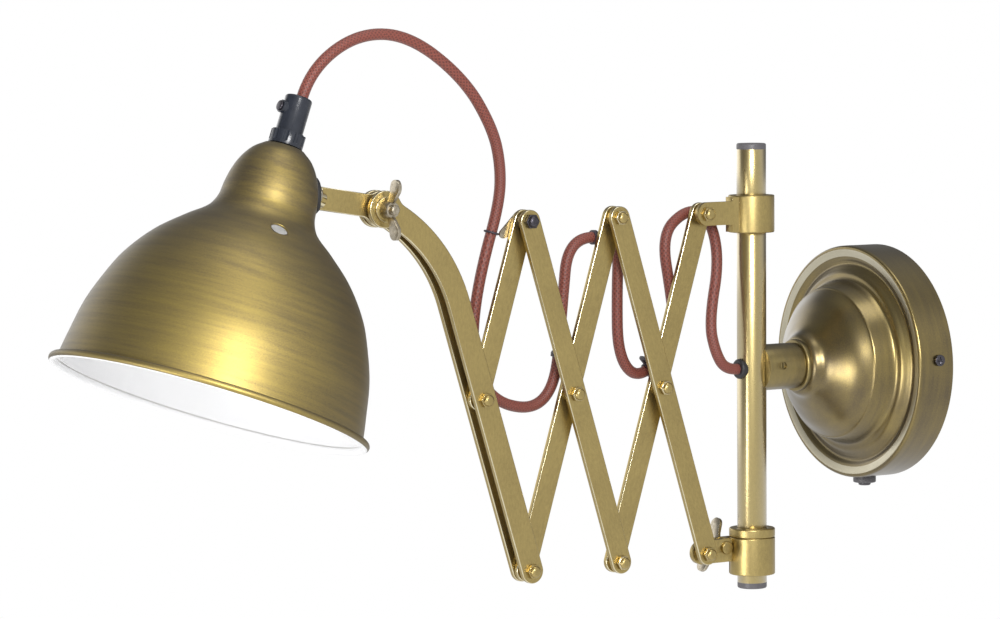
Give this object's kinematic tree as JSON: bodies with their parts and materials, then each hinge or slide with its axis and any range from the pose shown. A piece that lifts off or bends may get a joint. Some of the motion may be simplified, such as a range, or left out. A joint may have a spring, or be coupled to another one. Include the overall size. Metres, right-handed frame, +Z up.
{
  "type": "accordion wall lamp",
  "caption": "Wall lamp with a spun shade on a scissor arm of flat bars that swings and slides on a pole.",
  "frame": {"origin": "centre of the bracket's two wall screw holes, on the wall", "axes": "+Y into the wall, +Z up, the arm reaches along -Y at rest and +X is the side with the dome nuts"},
  "size_m": [0.1652, 0.5024, 0.3058],
  "materials": {
    "antique_bronze": "brushed bronze, darkened",
    "aged_brass": "satin aged brass",
    "aged_nickel": "worn nickel",
    "zinc_steel": "plain",
    "dark_plastic": "semi-gloss",
    "black_rubber": "matt",
    "textile_cord": "braided"
  },
  "bodies": {
    "wall_mount": {"wall_plate": "antique_bronze", "wall_bracket": "zinc_steel", "plate_side_screws": "zinc_steel", "terminal_block": "dark_plastic", "stub_tube": "antique_bronze", "stub_set_screw": "zinc_steel", "nose_ring": "antique_bronze", "stub_lock_nut": "zinc_steel", "switch_body": "dark_plastic", "switch_nut": "zinc_steel", "pole": "aged_brass", "pole_caps": "dark_plastic", "pole_grommet": "black_rubber", "lead_in_stub": "textile_cord", "cord_collar_to_pole": "textile_cord"},
    "button": {"switch_button": "dark_plastic"},
    "top_collar": {"upper_collar": "aged_brass", "collar_dog_screw": "zinc_steel", "pivot_top_collar": "aged_brass", "cord_b1_to_collar": "textile_cord"},
    "bar_b1": {"bar_b1": "aged_brass", "pivots_bar_b1": "aged_brass", "cord_tie_f1_to_b1": "textile_cord"},
    "bar_f1": {"bar_f1": "aged_brass", "pivot_bar_f1": "aged_brass", "tie_bar_f1": "dark_plastic", "cord_b2_to_tie_f1": "textile_cord"},
    "bar_b2": {"bar_b2": "aged_brass", "pivot_bar_b2": "aged_brass", "tie_bar_b2": "dark_plastic", "cord_tie_f2_to_b2": "textile_cord"},
    "bar_f2": {"bar_f2": "aged_brass", "tie_bar_f2": "dark_plastic", "cord_ring_to_tie_f2": "textile_cord"},
    "bar_b3": {"bar_b3": "aged_brass", "pivot_bar_b3": "aged_brass", "cord_hook": "zinc_steel", "cord_peak_to_ring": "textile_cord"},
    "curved_arm": {"curved_arm_front": "aged_brass", "curved_arm_rear": "aged_brass", "pivots_curved_arm": "aged_brass", "knuckle_bolt": "aged_nickel", "knuckle_washers": "aged_brass", "cord_grip_to_peak": "textile_cord"},
    "low_collar": {"lower_sleeve": "aged_brass", "lower_clamp": "aged_brass", "clamp_screw": "aged_brass", "pivot_low_collar": "aged_brass"},
    "clamp_wing": {"clamp_wing_nut": "aged_nickel"},
    "knuckle_wing": {"knuckle_wing_nut": "aged_nickel"},
    "head": {"head_strap": "aged_brass", "neck_washer": "aged_nickel", "neck_gasket": "black_rubber", "stud_nut": "zinc_steel", "shade": "antique_bronze", "lamp_nipple": "zinc_steel", "cord_grip": "dark_plastic", "grip_screw": "zinc_steel", "lampholder": "dark_plastic"}
  },
  "joints": [
    {"name": "arm_swing", "type": "hinge", "parent": "wall_mount", "child": "top_collar", "pos_m": [0, -0.088, 0], "axis": [0, 0, 1], "range_deg": [-85, 85], "deforming": ["cord_collar_to_pole"]},
    {"name": "scissor_open", "type": "hinge", "parent": "top_collar", "child": "bar_b1", "pos_m": [0, -0.1203, 0.0844], "axis": [-1, 0, 0], "range_deg": [-4, 32], "deforming": ["cord_b1_to_collar"]},
    {"name": "cross_3", "type": "hinge", "parent": "bar_b1", "child": "bar_f1", "pos_m": [0, -0.14869, -0.00731], "axis": [-1, 0, 0], "range_deg": [-64, 8], "deforming": ["cord_tie_f1_to_b1"]},
    {"name": "top_2", "type": "hinge", "parent": "bar_f1", "child": "bar_b2", "pos_m": [0, -0.17708, 0.0844], "axis": [-1, 0, 0], "range_deg": [-8, 64], "deforming": ["cord_b2_to_tie_f1"]},
    {"name": "cross_2", "type": "hinge", "parent": "bar_b2", "child": "bar_f2", "pos_m": [0, -0.20546, -0.00731], "axis": [-1, 0, 0], "range_deg": [-64, 8], "deforming": ["cord_tie_f2_to_b2"]},
    {"name": "top_1", "type": "hinge", "parent": "bar_f2", "child": "bar_b3", "pos_m": [0, -0.23385, 0.0844], "axis": [-1, 0, 0], "range_deg": [-8, 64], "deforming": ["cord_ring_to_tie_f2"]},
    {"name": "cross_1", "type": "hinge", "parent": "bar_b3", "child": "curved_arm", "pos_m": [0, -0.26224, -0.00731], "axis": [-1, 0, 0], "range_deg": [-64, 8], "deforming": ["cord_peak_to_ring"]},
    {"name": "low_3", "type": "hinge", "parent": "bar_f1", "child": "low_collar", "pos_m": [0, -0.1203, -0.09901], "axis": [-1, 0, 0], "range_deg": [-4, 32]},
    {"name": "head_tilt", "type": "hinge", "parent": "curved_arm", "child": "head", "pos_m": [-0.00165, -0.32185, 0.09351], "axis": [1, 0, 0], "range_deg": [-70, 30], "deforming": ["cord_grip_to_peak"]},
    {"name": "knuckle_wing_turn", "type": "hinge", "parent": "curved_arm", "child": "knuckle_wing", "pos_m": [0.009, -0.32185, 0.09351], "axis": [1, 0, 0], "continuous": true},
    {"name": "clamp_wing_turn", "type": "hinge", "parent": "low_collar", "child": "clamp_wing", "pos_m": [-0.012, -0.104, -0.0975], "axis": [1, 0, 0], "continuous": true},
    {"name": "switch_press", "type": "slide", "parent": "wall_mount", "child": "button", "axis": [0, 0, 1], "range_m": [0, 0.0015], "stiffness_N_per_m": 600}
  ],
  "couplings": [
    {"joint": "cross_3", "follows": "scissor_open", "ratio": -2},
    {"joint": "top_2", "follows": "scissor_open", "ratio": 2},
    {"joint": "cross_2", "follows": "scissor_open", "ratio": -2},
    {"joint": "top_1", "follows": "scissor_open", "ratio": 2},
    {"joint": "cross_1", "follows": "scissor_open", "ratio": -2},
    {"joint": "low_3", "follows": "scissor_open", "ratio": 1}
  ]
}
